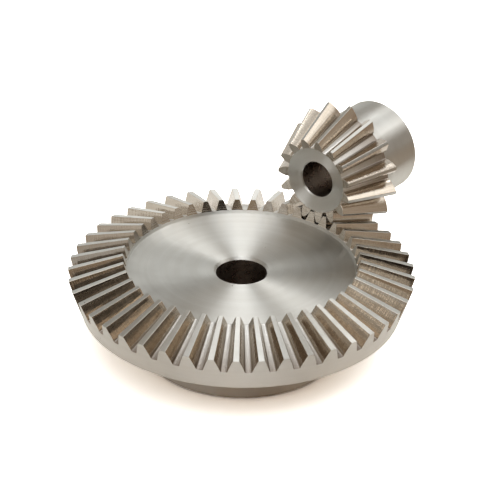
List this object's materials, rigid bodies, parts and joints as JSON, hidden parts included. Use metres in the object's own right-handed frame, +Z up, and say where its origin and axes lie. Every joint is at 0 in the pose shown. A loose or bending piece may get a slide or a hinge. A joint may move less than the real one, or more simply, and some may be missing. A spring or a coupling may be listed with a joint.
{
  "type": "bevel gear pair",
  "caption": "Straight bevel gear pair: a dished crown wheel and a small pinion, each one piece with a plain-bored hub, in mesh at right angles on crossing shafts.",
  "frame": {"origin": "On the wheel's axis at the plane that the pair stands on; the shafts' crossing point is 55.8 mm straight above it.", "axes": "+Z is up along the wheel's shaft, from hub to teeth. +Y is the pinion's shaft, from the crossing point out through its hub. +X is to the right seen from the front."},
  "size_m": [0.1361, 0.1585, 0.0823],
  "materials": {
    "wheel_steel": "turned carbon steel, bright, with cut teeth",
    "pinion_steel": "turned carbon steel, bright, with cut teeth",
    "ring_steel": "ground steel"
  },
  "bodies": {
    "spacing_rings": {"wheel_spacing_ring": "ring_steel", "pinion_spacing_ring": "ring_steel"},
    "wheel": {"bevel_wheel": "wheel_steel"},
    "pinion": {"bevel_pinion": "pinion_steel"}
  },
  "joints": [
    {"name": "wheel_spin", "type": "hinge", "parent": "spacing_rings", "child": "wheel", "pos_m": [0, 0, 0.02], "axis": [0, 0, 1], "continuous": true},
    {"name": "pinion_spin", "type": "hinge", "parent": "spacing_rings", "child": "pinion", "pos_m": [0, 0.069, 0.0558], "axis": [0, 1, 0], "continuous": true}
  ],
  "couplings": [
    {"joint": "pinion_spin", "follows": "wheel_spin", "ratio": 3}
  ]
}
